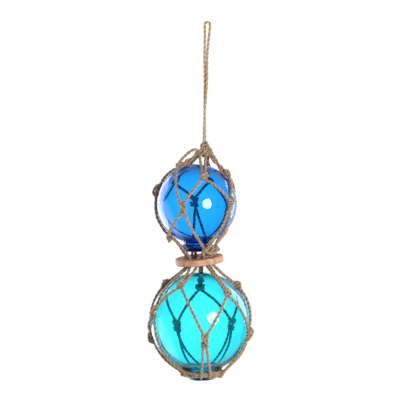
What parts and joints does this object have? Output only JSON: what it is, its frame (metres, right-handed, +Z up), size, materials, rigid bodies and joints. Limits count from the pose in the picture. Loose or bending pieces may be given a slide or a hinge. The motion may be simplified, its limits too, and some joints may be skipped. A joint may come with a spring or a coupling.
{
  "type": "pair of glass float balls in a net",
  "caption": "Blue glass float above a larger aqua one, each closed by a glass button, in one knotted jute net through a wooden ring, hung from a jute loop.",
  "frame": {"origin": "inside top of the hanging loop, where a hook or nail carries it", "axes": "+Z up along the line the object hangs on; -Y is the front seen in the picture, +X to its right"},
  "size_m": [0.1393, 0.132, 0.4563],
  "materials": {
    "blue_glass": "clear blown glass, azure blue, deep blue at the rim",
    "aqua_glass": "clear blown glass, aqua",
    "jute": "two-ply natural jute twine, matt and a little hairy",
    "wood": "turned pale wood, sanded, unvarnished"
  },
  "bodies": {
    "root": {"hanging_loop": "jute", "net": "jute", "upper_float": "blue_glass", "lower_float": "aqua_glass", "wood_ring": "wood"}
  },
  "joints": []
}
